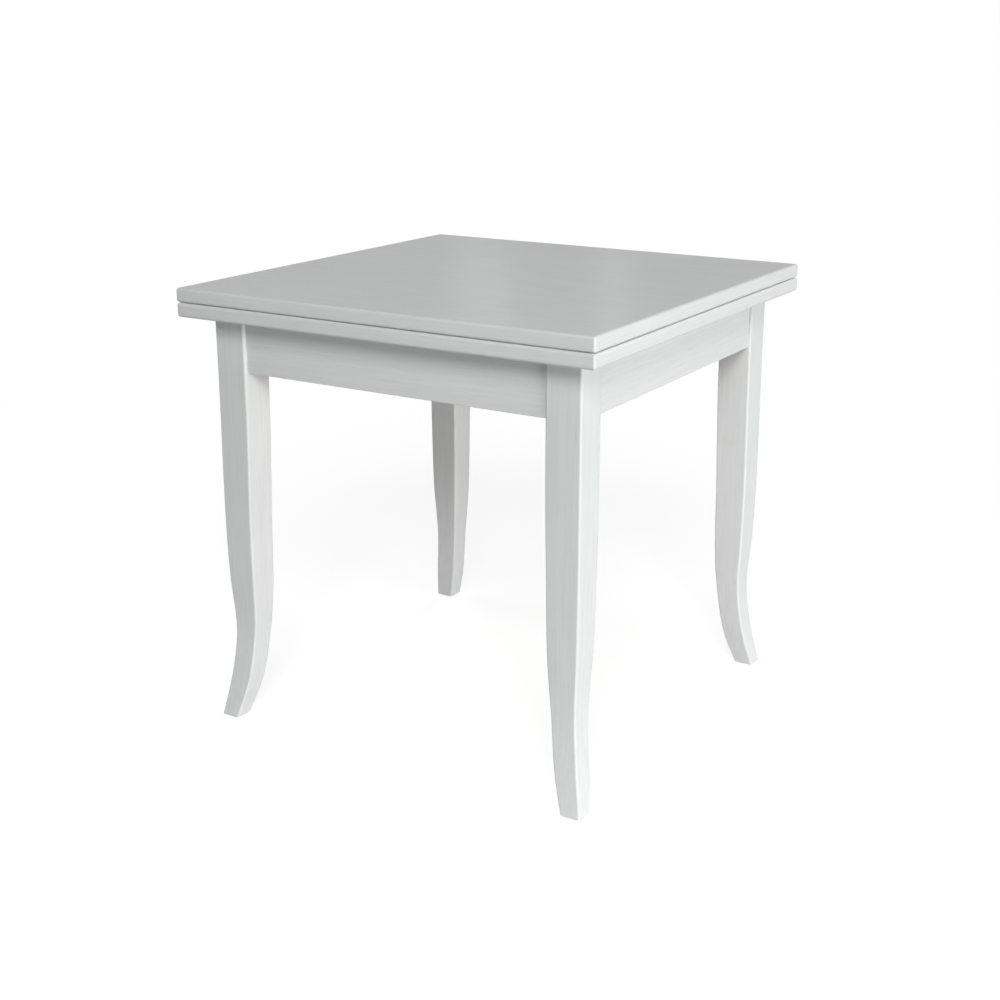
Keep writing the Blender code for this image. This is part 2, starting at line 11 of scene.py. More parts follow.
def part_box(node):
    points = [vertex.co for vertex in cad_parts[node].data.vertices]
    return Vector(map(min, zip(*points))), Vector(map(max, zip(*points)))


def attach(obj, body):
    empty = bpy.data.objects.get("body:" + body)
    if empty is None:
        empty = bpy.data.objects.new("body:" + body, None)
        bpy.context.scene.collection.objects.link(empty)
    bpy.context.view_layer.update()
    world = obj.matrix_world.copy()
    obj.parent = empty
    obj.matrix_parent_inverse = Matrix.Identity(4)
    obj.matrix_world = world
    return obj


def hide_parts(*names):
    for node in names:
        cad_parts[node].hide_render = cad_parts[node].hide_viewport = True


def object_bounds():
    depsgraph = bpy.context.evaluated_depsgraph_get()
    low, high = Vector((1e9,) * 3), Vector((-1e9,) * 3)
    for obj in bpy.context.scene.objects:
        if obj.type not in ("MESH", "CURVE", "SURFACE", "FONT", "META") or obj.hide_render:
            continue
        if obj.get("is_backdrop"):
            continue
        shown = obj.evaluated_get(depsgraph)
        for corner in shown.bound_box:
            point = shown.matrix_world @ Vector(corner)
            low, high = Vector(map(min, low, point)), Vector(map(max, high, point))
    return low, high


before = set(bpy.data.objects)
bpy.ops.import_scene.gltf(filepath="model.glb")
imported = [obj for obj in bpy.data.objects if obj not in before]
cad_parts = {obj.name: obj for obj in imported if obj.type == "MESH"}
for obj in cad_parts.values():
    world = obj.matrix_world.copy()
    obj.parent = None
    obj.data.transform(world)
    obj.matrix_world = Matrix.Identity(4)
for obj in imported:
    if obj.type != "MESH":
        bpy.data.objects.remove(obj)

cad_low, cad_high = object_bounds()


# Legs
# Four sabre legs of solid wood, square at the aprons and sawn below to one sweep on each pair of faces.
# They are sprayed with white satin lacquer, thin enough for the grain along the leg to show through.
CORNERS = ("back_right", "back_left", "front_left", "front_right")
MERGE_DISTANCE = 0.00001
FLAT_ANGLE = math.radians(0.05)
CREASE_ANGLE = math.radians(35)
GRAIN_ALONG_Z = (0.0, math.radians(90), 0.0)
STREAKS = {"detail": 6.0, "rough": 0.62, "low": 0.36, "high": 0.66}
PORES = {"low": 0.60, "high": 0.72}
PORE_STRETCH = (3.0, 5.0, 5.0)
CLOUD = {"scale": 4.0, "detail": 3.0, "low": 0.35, "high": 0.65}
SMUDGES = {"scale": 11.0, "detail": 4.0, "rough": 0.6, "low": 0.40, "high": 0.68}
SCRATCHES = {"detail": 1.0, "low": 0.70, "high": 0.76}
SCRATCH_SLANT = (0.5, 0.3, 0.7)
SCRATCH_STRETCH = (14.0, 900.0, 900.0)
MID_HEIGHT = 0.5
MIX_FROM = 6
MIX_TO = 7
MIX_RESULT = 2
LACQUER_WHITE = (0.792, 0.799, 0.799, 1.0)
LACQUER_SHADE = (0.722, 0.729, 0.729, 1.0)
LACQUER_PORE = (0.612, 0.619, 0.619, 1.0)
LACQUER_GRAIN = {"Along": 5.0, "Across": 170.0}
LACQUER_TONES = {"Streaks": 0.55, "Cloud": 0.2}
LACQUER_PITS = {"Pores": 0.45}
LACQUER_ROUGHNESS = 0.18
LACQUER_WEAR = {"Cloud": 0.02, "Smudges": 0.03, "Pores": 0.03}
LACQUER_RELIEF = {"Streaks": 0.30, "Pores": -0.6, "Peel": 0.25}
LACQUER_BUMP = 0.00012
LACQUER_IOR = 1.06
PEEL_SCALE = 420.0


def add_node(tree, kind, sockets=None, **settings):
    """New shader node with its settings made and its input sockets set, or linked to other sockets."""
    made = tree.nodes.new(kind)
    for name, value in settings.items():
        setattr(made, name, value)
    for name, value in (sockets or {}).items():
        if isinstance(value, bpy.types.NodeSocket):
            tree.links.new(value, made.inputs[name])
        else:
            made.inputs[name].default_value = value
    return made


def noise(tree, vector, scale=1.0, detail=2.0, rough=0.5):
    """Noise pattern, as a value about one half."""
    sockets = {"Vector": vector, "Scale": scale, "Detail": detail, "Roughness": rough}
    return add_node(tree, "ShaderNodeTexNoise", sockets).outputs["Fac"]


def spread(tree, value, low, high):
    """Mask that is 0 where a value is low and 1 where it is high."""
    sockets = {"Value": value, "From Min": low, "From Max": high}
    return add_node(tree, "ShaderNodeMapRange", sockets).outputs["Result"]


def patches(tree, vector, low, high, **pattern):
    """Mask of noise patches, 0 where the noise is low and 1 where it is high."""
    return spread(tree, noise(tree, vector, **pattern), low, high)


def stretch(tree, vector, amounts):
    """Vector drawn out by its own amount along each axis."""
    return add_node(tree, "ShaderNodeVectorMath", {0: vector, 1: amounts}, operation="MULTIPLY").outputs[0]


def weigh(tree, masks, weights, start=0.0):
    """Start value plus each named mask times its weight."""
    total = start
    for name, weight in weights.items():
        sockets = {0: masks[name], 1: weight, 2: total}
        total = add_node(tree, "ShaderNodeMath", sockets, operation="MULTIPLY_ADD").outputs[0]
    return total


def tint(tree, mask, plain, deep):
    """Colour that goes from plain to deep with a mask."""
    sockets = {0: mask, MIX_FROM: plain, MIX_TO: deep}
    return add_node(tree, "ShaderNodeMix", sockets, data_type="RGBA").outputs[MIX_RESULT]


def new_group(name, inputs, outputs):
    """Empty shader node group with its sockets, and the sockets that its inputs come from."""
    group = bpy.data.node_groups.new(name, "ShaderNodeTree")
    for label, kind in inputs.items():
        group.interface.new_socket(label, in_out="INPUT", socket_type=kind)
    for label in outputs:
        group.interface.new_socket(label, in_out="OUTPUT", socket_type="NodeSocketFloat")
    return group, group.nodes.new("NodeGroupInput").outputs


def make_wood_grain():
    """Group of streaks and pores drawn out along X, and a slow cloudiness, for wood under any finish."""
    inputs = {"Vector": "NodeSocketVector", "Along": "NodeSocketFloat", "Across": "NodeSocketFloat"}
    group, given = new_group("wood_grain", inputs, ("Streaks", "Pores", "Cloud"))
    sockets = {"X": given["Along"], "Y": given["Across"], "Z": given["Across"]}
    amounts = add_node(group, "ShaderNodeCombineXYZ", sockets).outputs["Vector"]
    drawn = stretch(group, given["Vector"], amounts)
    results = {
        "Streaks": patches(group, drawn, **STREAKS),
        "Pores": patches(group, stretch(group, drawn, PORE_STRETCH), **PORES),
        "Cloud": patches(group, given["Vector"], **CLOUD),
    }
    add_node(group, "NodeGroupOutput", results)
    return group


def make_handling_marks():
    """Group of soft smudges and hair-fine scratches, for any finish that is touched."""
    group, given = new_group("handling_marks", {"Vector": "NodeSocketVector"}, ("Smudges", "Scratches"))
    sockets = {"Vector": given["Vector"], "Rotation": SCRATCH_SLANT}
    aslant = add_node(group, "ShaderNodeMapping", sockets).outputs["Vector"]
    results = {
        "Smudges": patches(group, given["Vector"], **SMUDGES),
        "Scratches": patches(group, stretch(group, aslant, SCRATCH_STRETCH), **SCRATCHES),
    }
    add_node(group, "NodeGroupOutput", results)
    return group


def masks_from(tree, group, **sockets):
    """The masks that a pattern group gives, by name."""
    made = add_node(tree, "ShaderNodeGroup", sockets, node_tree=group)
    return {socket.name: socket for socket in made.outputs}


def start_material(name, turn=(0.0, 0.0, 0.0)):
    """New material, its tree and shader, and Object coordinates turned to bring the grain along X."""
    made = bpy.data.materials.new(name)
    made.use_nodes = True
    tree = made.node_tree
    spot = add_node(tree, "ShaderNodeTexCoord").outputs["Object"]
    turned = add_node(tree, "ShaderNodeMapping", {"Vector": spot, "Rotation": turn}).outputs["Vector"]
    return made, tree, tree.nodes["Principled BSDF"], turned


def link_looks(tree, shader, colour, roughness, height, depth):
    """Links colour, roughness and relief to the shader, with the relief's full depth in metres."""
    relief = add_node(tree, "ShaderNodeBump", {"Height": height, "Distance": depth}).outputs["Normal"]
    tree.links.new(colour, shader.inputs["Base Color"])
    tree.links.new(roughness, shader.inputs["Roughness"])
    tree.links.new(relief, shader.inputs["Normal"])


wood_grain = make_wood_grain()
handling_marks = make_handling_marks()


def lacquer(name, turn):
    """White satin lacquer over open-grained wood."""
    made, tree, shader, spot = start_material(name, turn)
    masks = masks_from(tree, wood_grain, Vector=spot, **LACQUER_GRAIN)
    masks.update(masks_from(tree, handling_marks, Vector=spot))
    masks["Peel"] = noise(tree, spot, PEEL_SCALE)
    toned = tint(tree, weigh(tree, masks, LACQUER_TONES), LACQUER_WHITE, LACQUER_SHADE)
    pored = tint(tree, weigh(tree, masks, LACQUER_PITS), toned, LACQUER_PORE)
    roughness = weigh(tree, masks, LACQUER_WEAR, LACQUER_ROUGHNESS)
    height = weigh(tree, masks, LACQUER_RELIEF, MID_HEIGHT)
    link_looks(tree, shader, pored, roughness, height, LACQUER_BUMP)
    shader.inputs["IOR"].default_value = LACQUER_IOR
    return made


def pick(piece):
    """Makes one object the only one selected, and the active one."""
    bpy.ops.object.select_all(action="DESELECT")
    piece.select_set(True)
    bpy.context.view_layer.objects.active = piece


def soften(piece):
    """Shades the rounds smooth, keeps sharp arrises sharp and flat faces flat."""
    pick(piece)
    bpy.ops.object.shade_smooth_by_angle(angle=CREASE_ANGLE)
    bpy.ops.object.modifier_add(type="WEIGHTED_NORMAL")
    piece.modifiers[0].keep_sharp = True
    bpy.ops.object.modifier_apply(modifier=piece.modifiers[0].name)


def dressed(name, node, finish):
    """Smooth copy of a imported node, its loose triangles merged back into whole faces, in a finish."""
    piece = bpy.data.objects.new(name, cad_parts[node].data.copy())
    bpy.context.collection.objects.link(piece)
    pick(piece)
    bpy.ops.mesh.customdata_custom_splitnormals_clear()
    bpy.ops.object.mode_set(mode="EDIT")
    bpy.ops.mesh.select_all(action="SELECT")
    bpy.ops.mesh.remove_doubles(threshold=MERGE_DISTANCE)
    bpy.ops.mesh.dissolve_limited(angle_limit=FLAT_ANGLE)
    bpy.ops.object.mode_set(mode="OBJECT")
    soften(piece)
    piece.data.materials.clear()
    piece.data.materials.append(finish)
    return piece


def fit(piece, body, slot, *nodes):
    """Puts a finished piece on its body, in place of the nodes that it stands for."""
    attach(piece, body)
    if nodes:
        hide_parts(*nodes)


lacquer_along_z = lacquer("white_lacquer_along_z", GRAIN_ALONG_Z)
for corner in CORNERS:
    leg = dressed(f"sabre_leg_{corner}", f"leg_{corner}", lacquer_along_z)
    fit(leg, "frame", "white_lacquer", f"leg_{corner}")


# Aprons
# Four boards between the legs, set a little back from their faces and eased along the lower arrises.
# They have the legs' white lacquer, with the grain along each board.
GRAIN_ALONG_X = (0.0, 0.0, 0.0)
GRAIN_ALONG_Y = (0.0, 0.0, math.radians(-90))

lacquer_along_x = lacquer("white_lacquer_along_x", GRAIN_ALONG_X)
lacquer_along_y = lacquer("white_lacquer_along_y", GRAIN_ALONG_Y)
for side, finish in (
    ("back", lacquer_along_x),
    ("left", lacquer_along_y),
    ("front", lacquer_along_x),
    ("right", lacquer_along_y),
):
    board = dressed(f"apron_board_{side}", f"apron_{side}", finish)
    fit(board, "frame", "white_lacquer", f"apron_{side}")


# Corner braces
# Mitred beech blocks across the corners, left bare, each screwed to two aprons near its ends.
# The pan-head screws have a cross recess and sit on the brace's inner face.
BEECH_PALE = (0.66, 0.46, 0.28, 1.0)
BEECH_DEEP = (0.54, 0.35, 0.20, 1.0)
BEECH_FLECK = (0.40, 0.24, 0.13, 1.0)
BEECH_GRAIN = {"Along": 3.0, "Across": 60.0}
BEECH_SHORT_GRAIN = {"Along": 45.0, "Across": 240.0}
BEECH_TONES = {"Streaks": 0.7, "Cloud": 0.3}
BEECH_SPOTS = {"Flecks": 0.6}
BEECH_ROUGHNESS = 0.50
BEECH_WEAR = {"Streaks": 0.10, "Flecks": 0.10}
BEECH_RELIEF = {"Fibres": 0.3, "Flecks": -0.5}
BEECH_BUMP = 0.00025
PLATE_MOTTLE = {"scale": 160.0, "detail": 4.0, "rough": 0.6, "low": 0.38, "high": 0.66}
PLATE_WEAR = {"Mottle": 0.10, "Smudges": 0.06, "Scratches": 0.12}
PLATE_RELIEF = {"Brush": 0.3, "Scratches": -0.4}
PLATE_BUMP = 0.00002
BRUSH_STRETCH = (2200.0, 60.0, 2200.0)
ZINC_BRIGHT = (0.66, 0.66, 0.64, 1.0)
ZINC_DULL = (0.52, 0.53, 0.53, 1.0)
ZINC_ROUGHNESS = 0.28
BRACE_GRAIN_TURN = math.radians(45)
PAN_RADIUS = 0.0038
PAN_HEIGHT = 0.0023
PAN_ROUND = 0.0017
PAN_ROUND_STEPS = 5
RECESS_WIDTH = 0.0040
RECESS_BLADE = 0.0010
RECESS_DEPTH = 0.0012
SCREW_FROM_TIP = 0.014
SCREW_RISE = 0.022
ROUND_STEPS = 32


def beech(name, turn):
    """Planed beech with its short dark flecks."""
    made, tree, shader, spot = start_material(name, turn)
    masks = masks_from(tree, wood_grain, Vector=spot, **BEECH_GRAIN)
    short = masks_from(tree, wood_grain, Vector=spot, **BEECH_SHORT_GRAIN)
    masks["Fibres"] = short["Streaks"]
    masks["Flecks"] = short["Pores"]
    toned = tint(tree, weigh(tree, masks, BEECH_TONES), BEECH_PALE, BEECH_DEEP)
    flecked = tint(tree, weigh(tree, masks, BEECH_SPOTS), toned, BEECH_FLECK)
    roughness = weigh(tree, masks, BEECH_WEAR, BEECH_ROUGHNESS)
    height = weigh(tree, masks, BEECH_RELIEF, MID_HEIGHT)
    link_looks(tree, shader, flecked, roughness, height, BEECH_BUMP)
    return made


def plated(name, bright, dull, least_roughness):
    """Plated metal, cloudy where it has dulled and scratched by handling."""
    made, tree, shader, spot = start_material(name)
    masks = masks_from(tree, handling_marks, Vector=spot)
    masks["Mottle"] = patches(tree, spot, **PLATE_MOTTLE)
    masks["Brush"] = noise(tree, stretch(tree, spot, BRUSH_STRETCH))
    colour = tint(tree, masks["Mottle"], bright, dull)
    roughness = weigh(tree, masks, PLATE_WEAR, least_roughness)
    height = weigh(tree, masks, PLATE_RELIEF, MID_HEIGHT)
    link_looks(tree, shader, colour, roughness, height, PLATE_BUMP)
    shader.inputs["Metallic"].default_value = 1.0
    return made


def round_bar(name, radius, height, middle, steps):
    """Upright cylinder about a middle point, with its place applied to its mesh."""
    bpy.ops.object.select_all(action="DESELECT")
    bpy.ops.mesh.primitive_cylinder_add(vertices=steps, radius=radius, depth=height, location=middle)
    made = bpy.context.object
    made.name = name
    bpy.ops.object.transform_apply()
    return made


def round_edges(piece, wanted, radius, steps):
    """Rounds those edges of a piece whose two ends are wanted."""
    pick(piece)
    bpy.ops.object.mode_set(mode="EDIT")
    bpy.ops.mesh.select_mode(type="EDGE")
    bpy.ops.mesh.select_all(action="DESELECT")
    bpy.ops.object.mode_set(mode="OBJECT")
    spots = piece.data.vertices
    for edge in piece.data.edges:
        edge.select = all(wanted(spots[end].co) for end in edge.vertices)
    bpy.ops.object.mode_set(mode="EDIT")
    bpy.ops.mesh.bevel(offset=radius, segments=steps, affect="EDGES")
    bpy.ops.object.mode_set(mode="OBJECT")


def cut_with(piece, cutter):
    """Cuts one modelled shape out of another and removes the cutter."""
    pick(piece)
    bpy.ops.object.modifier_add(type="BOOLEAN")
    piece.modifiers[0].object = cutter
    bpy.ops.object.modifier_apply(modifier=piece.modifiers[0].name)
    bpy.data.objects.remove(cutter)


def cut_cross(screw, top):
    """Sinks the driver's cross into the top of a screw's head."""
    for blade in ((RECESS_WIDTH, RECESS_BLADE), (RECESS_BLADE, RECESS_WIDTH)):
        bpy.ops.mesh.primitive_cube_add(size=1.0, location=(0, 0, top), scale=(*blade, 2 * RECESS_DEPTH))
        cut_with(screw, bpy.context.object)


def set_out(name, pattern, places):
    """Copies a modelled fastener to each place and joins the copies into one piece."""
    bpy.ops.object.select_all(action="DESELECT")
    for place in places:
        piece = bpy.data.objects.new(name, pattern.data.copy())
        piece.data.transform(place)
        bpy.context.collection.objects.link(piece)
        piece.select_set(True)
        bpy.context.view_layer.objects.active = piece
    bpy.ops.object.join()
    piece.name = name
    return piece


zinc = plated("zinc_plate", ZINC_BRIGHT, ZINC_DULL, ZINC_ROUGHNESS)
pan_screw = round_bar("pan_screw", PAN_RADIUS, PAN_HEIGHT, (0, 0, PAN_HEIGHT / 2), ROUND_STEPS)
round_edges(pan_screw, lambda spot: spot.z > PAN_HEIGHT / 2, PAN_ROUND, PAN_ROUND_STEPS)
cut_cross(pan_screw, PAN_HEIGHT)
soften(pan_screw)
pan_screw.data.materials.append(zinc)

beech_rising = beech("beech_rising_diagonal", (0.0, 0.0, -BRACE_GRAIN_TURN))
beech_falling = beech("beech_falling_diagonal", (0.0, 0.0, BRACE_GRAIN_TURN))
for corner in CORNERS:
    node = f"corner_brace_{corner}"
    finish = beech_falling if corner in ("back_right", "front_left") else beech_rising
    fit(dressed(f"mitred_brace_{corner}", node, finish), "frame", "beech", node)

    low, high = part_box(node)
    middle = (low + high) / 2
    outwards = Vector((math.copysign(1, middle.x), math.copysign(1, middle.y), 0)).normalized()
    sideways = outwards.cross(Vector((0, 0, 1)))
    spots = [vert.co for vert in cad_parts[node].data.vertices]
    inner_face = min((spot - middle).dot(outwards) for spot in spots)
    reach = (high.x - low.x) / math.sqrt(2) - SCREW_FROM_TIP
    upright = (-outwards).to_track_quat("Z", "Y").to_matrix().to_4x4()
    places = []
    for along in (-reach, reach):
        for rise in (-SCREW_RISE, SCREW_RISE):
            seat = middle + outwards * inner_face + sideways * along + Vector((0, 0, rise))
            places.append(Matrix.Translation(seat) @ upright)
    fit(set_out(f"brace_screws_{corner}", pan_screw, places), "frame", "zinc_steel")


# Leg bolts and nuts
# A zinc-plated hanger bolt in each leg: coarse thread in the wood, fine thread through the brace.
# A flanged nut draws the leg up against the aprons' ends.
FACING = 0.9
FINE_PITCH = 0.00125
FINE_ROOT = 0.84
FINE_LENGTH = 0.0425
COARSE_PITCH = 0.0030
COARSE_ROOT = 0.72
COARSE_LENGTH = 0.0270
POINT_LENGTH = 0.0040
POINT_TAPER = 0.25
TAIL_TAPER = 0.82
TAIL_CHAMFER = 0.0008
BOLT_STEPS = 24


def edit_faces(piece, wanted):
    """Enters edit mode with only the faces selected whose middle and normal are wanted."""
    pick(piece)
    bpy.ops.object.mode_set(mode="EDIT")
    bpy.ops.mesh.select_mode(type="FACE")
    bpy.ops.mesh.select_all(action="DESELECT")
    bpy.ops.object.mode_set(mode="OBJECT")
    for face in piece.data.polygons:
        face.select = wanted(face.center, face.normal)
    bpy.ops.object.mode_set(mode="EDIT")


def draw_out(rise, size):
    """Draws the selected end face on along Z and sizes it about the Z axis."""
    bpy.ops.mesh.extrude_region_move(TRANSFORM_OT_translate={"value": (0, 0, rise)})
    bpy.ops.transform.resize(value=(size, size, 1.0), center_override=(0, 0, 0))


def draw_thread(way, pitch, length, root):
    """Draws the selected end face on along Z as thread, in to the root and out again for each turn."""
    for _ in range(round(length / pitch)):
        draw_out(way * pitch / 2, root)
        draw_out(way * pitch / 2, 1 / root)


low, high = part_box("leg_bolt_back_right")
bolt_radius = (high.z - low.z) / 2
bolt_run = (high.x - low.x) * math.sqrt(2) - 2 * bolt_radius
fine_run = round(FINE_LENGTH / FINE_PITCH) * FINE_PITCH + TAIL_CHAMFER
coarse_run = round(COARSE_LENGTH / COARSE_PITCH) * COARSE_PITCH + POINT_LENGTH
plain_run = bolt_run - fine_run - coarse_run
plain_middle = (0, 0, fine_run + plain_run / 2)
hanger_bolt = round_bar("hanger_bolt", bolt_radius, plain_run, plain_middle, BOLT_STEPS)
edit_faces(hanger_bolt, lambda spot, normal: normal.z > FACING)
draw_thread(1, COARSE_PITCH, COARSE_LENGTH, COARSE_ROOT)
draw_out(POINT_LENGTH, POINT_TAPER)
bpy.ops.object.mode_set(mode="OBJECT")
edit_faces(hanger_bolt, lambda spot, normal: normal.z < -FACING)
draw_thread(-1, FINE_PITCH, FINE_LENGTH, FINE_ROOT)
draw_out(-TAIL_CHAMFER, TAIL_TAPER)
bpy.ops.object.mode_set(mode="OBJECT")
soften(hanger_bolt)
hanger_bolt.data.materials.append(zinc)

for corner in CORNERS:
    low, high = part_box(f"leg_bolt_{corner}")
    middle = (low + high) / 2
    outwards = Vector((middle.x, middle.y, 0)).normalized()
    along = outwards.to_track_quat("Z", "Y").to_matrix().to_4x4()
    place = Matrix.Translation(middle - outwards * bolt_run / 2) @ along
    fit(set_out(f"hanger_bolt_{corner}", hanger_bolt, [place]), "frame", "zinc_steel", f"leg_bolt_{corner}")
    nut = dressed(f"flanged_nut_{corner}", f"leg_nut_{corner}", zinc)
    fit(nut, "frame", "zinc_steel", f"leg_nut_{corner}")
bpy.data.objects.remove(hanger_bolt)


# Guides
# Two beech rails between the side aprons, with a dovetailed groove that is plugged at both ends.
# A bearer from front to back carries the rails and is screwed to them from below.
BEARER_SCREW_HALF = 0.016

beech_along_x = beech("beech_along_x", GRAIN_ALONG_X)
beech_along_y = beech("beech_along_y", GRAIN_ALONG_Y)
bearer_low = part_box("centre_bearer")[0]
downwards = Matrix.Rotation(math.pi, 4, "X")
bearer_places = []
for side in ("front", "back"):
    rail = dressed(f"dovetail_rail_{side}", f"guide_rail_{side}", beech_along_x)
    fit(rail, "frame", "beech", f"guide_rail_{side}")
    for end in ("left", "right"):
        plug = dressed(f"groove_plug_{side}_{end}", f"guide_stop_{side}_{end}", beech_along_x)
        fit(plug, "frame", "beech", f"guide_stop_{side}_{end}")
    low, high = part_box(f"guide_rail_{side}")
    for x in (-BEARER_SCREW_HALF, BEARER_SCREW_HALF):
        bearer_places.append(Matrix.Translation((x, (low.y + high.y) / 2, bearer_low.z)) @ downwards)
fit(dressed("rail_bearer", "centre_bearer", beech_along_y), "frame", "beech", "centre_bearer")
fit(set_out("bearer_screws", pan_screw, bearer_places), "frame", "zinc_steel")
bpy.data.objects.remove(pan_screw)


# Felts
# Pressed grey wool felt, punched as discs for the leg tops and cut as strips for two aprons.
# It is stuck down, and the leaf slides on its nap.
FELT_PALE = (0.50, 0.49, 0.47, 1.0)
FELT_DEEP = (0.30, 0.29, 0.28, 1.0)
FELT_FIBRES = {"scale": 900.0, "detail": 5.0, "rough": 0.7, "low": 0.36, "high": 0.64}
FELT_CLUMPS = {"scale": 130.0, "detail": 3.0, "low": 0.38, "high": 0.62}
FELT_TONES = {"Fibres": 0.65, "Clumps": 0.35}
FELT_ROUGHNESS = 0.86
FELT_WEAR = {"Clumps": 0.12}
FELT_BUMP = 0.0003
FELT_SHEEN = 0.35
FELT_STEPS = 64
FELT_ROUND = 0.0004
FELT_ROUND_STEPS = 2
FELT_NAP = 0.00012
FELT_NAP_SCALE = 0.0016
FELT_RINGS = 7
FELT_EYE_RINGS = 2


def felt(name):
    """Pressed felt of pale and dark fibres, soft at grazing angles."""
    made, tree, shader, spot = start_material(name)
    masks = {"Fibres": patches(tree, spot, **FELT_FIBRES), "Clumps": patches(tree, spot, **FELT_CLUMPS)}
    tones = weigh(tree, masks, FELT_TONES)
    colour = tint(tree, tones, FELT_PALE, FELT_DEEP)
    roughness = weigh(tree, masks, FELT_WEAR, FELT_ROUGHNESS)
    link_looks(tree, shader, colour, roughness, tones, FELT_BUMP)
    shader.inputs["Sheen Weight"].default_value = FELT_SHEEN
    return made


def raise_nap(piece, pattern):
    """Sinks the felt's surface unevenly, as pressed fibres lie."""
    pick(piece)
    bpy.ops.object.modifier_add(type="DISPLACE")
    piece.modifiers[0].texture = pattern
    piece.modifiers[0].texture_coords = "GLOBAL"
    piece.modifiers[0].strength = FELT_NAP
    piece.modifiers[0].mid_level = 1.0
    bpy.ops.object.modifier_apply(modifier=piece.modifiers[0].name)
    soften(piece)


nap_pattern = bpy.data.textures.new("felt_nap", "CLOUDS")
nap_pattern.noise_scale = FELT_NAP_SCALE
grey_felt = felt("grey_felt")
for corner in CORNERS:
    low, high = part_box(f"felt_pad_{corner}")
    middle = (low + high) / 2
    radius = middle.x - low.x
    disc = round_bar(f"felt_disc_{corner}", radius, high.z - low.z, middle, FELT_STEPS)
    round_edges(disc, lambda spot: True, FELT_ROUND, FELT_ROUND_STEPS)
    edit_faces(disc, lambda spot, normal: (spot.xy - middle.xy).length < FELT_ROUND)
    for _ in range(FELT_RINGS):
        bpy.ops.mesh.inset(thickness=radius / (FELT_RINGS + FELT_EYE_RINGS), use_individual=True)
    bpy.ops.object.mode_set(mode="OBJECT")
    raise_nap(disc, nap_pattern)
    disc.data.materials.append(grey_felt)
    fit(disc, "frame", "felt", f"felt_pad_{corner}")
for side in ("front", "back"):
    strip = dressed(f"felt_band_{side}", f"felt_strip_{side}", grey_felt)
    fit(strip, "frame", "felt", f"felt_strip_{side}")


# Foot glides
# Off-white nylon discs under the feet, nailed through a recess in the middle.
# The rounded rim lets the table be pushed over a floor.
NYLON_PALE = (0.80, 0.79, 0.76, 1.0)
NYLON_WORN = (0.66, 0.65, 0.62, 1.0)
NYLON_SCUFFS = {"scale": 260.0, "detail": 4.0, "rough": 0.65, "low": 0.48, "high": 0.68}
NYLON_TONES = {"Scuffs": 0.5, "Scratches": 0.5}
NYLON_ROUGHNESS = 0.40
NYLON_WEAR = {"Scuffs": 0.18, "Smudges": 0.05}
NYLON_RELIEF = {"Scuffs": -0.3, "Scratches": -0.4}
NYLON_BUMP = 0.0001
GLIDE_ROUND = 0.0008
GLIDE_ROUND_STEPS = 4
RECESS_RADIUS = 0.0055
NAIL_RADIUS = 0.0042
NAIL_SLOPE = 0.0004
NAIL_SINK = 0.0012
NAIL_RISE = 0.0006


def nylon(name):
    """Moulded nylon, scuffed by the floor."""
    made, tree, shader, spot = start_material(name)
    masks = masks_from(tree, handling_marks, Vector=spot)
    masks["Scuffs"] = patches(tree, spot, **NYLON_SCUFFS)
    colour = tint(tree, weigh(tree, masks, NYLON_TONES), NYLON_PALE, NYLON_WORN)
    roughness = weigh(tree, masks, NYLON_WEAR, NYLON_ROUGHNESS)
    height = weigh(tree, masks, NYLON_RELIEF, MID_HEIGHT)
    link_looks(tree, shader, colour, roughness, height, NYLON_BUMP)
    return made


white_nylon = nylon("white_nylon")
for corner in CORNERS:
    low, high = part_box(f"foot_glide_{corner}")
    middle = (low + high) / 2
    radius = (high.x - low.x) / 2
    glide = round_bar(f"nylon_glide_{corner}", radius, high.z - low.z, middle, ROUND_STEPS)
    round_edges(glide, lambda spot: spot.z < middle.z, GLIDE_ROUND, GLIDE_ROUND_STEPS)
    edit_faces(glide, lambda spot, normal: normal.z < -FACING and (spot - middle).xy.length < RECESS_RADIUS)
    for thickness, rise in (
        (radius - GLIDE_ROUND - RECESS_RADIUS, NAIL_SINK),
        (RECESS_RADIUS - NAIL_RADIUS, 0.0),
        (NAIL_SLOPE, -NAIL_RISE),
    ):
        bpy.ops.mesh.inset(thickness=thickness)
        bpy.ops.mesh.extrude_region_move(TRANSFORM_OT_translate={"value": (0, 0, rise)})
    bpy.ops.object.mode_set(mode="OBJECT")
    soften(glide)
    glide.data.materials.append(white_nylon)
    fit(glide, "frame", "nylon", f"foot_glide_{corner}")


# Lower leaf and runners
# The lower of two equal lacquered leaves, rounded on every arris and mortised for the hinges on top.
# Two beech runners fixed under it have the dovetail tongues that slide in the rails.
def lacquered_leaf(name, node):
    """Leaf with the grain along X on its faces and long edges, and along Y on its two cross edges."""
    leaf = dressed(name, node, lacquer_along_x)
    leaf.data.materials.append(lacquer_along_y)
    for face in leaf.data.polygons:
        if abs(face.normal.x) > max(abs(face.normal.y), abs(face.normal.z)):
            face.material_index = 1
    return leaf


fit(lacquered_leaf("lower_table_leaf", "lower_leaf"), "sliding_top", "white_lacquer", "lower_leaf")
for side in ("front", "back"):
    runner = dressed(f"dovetail_runner_{side}", f"runner_{side}", beech_along_x)
    fit(runner, "sliding_top", "beech", f"runner_{side}")


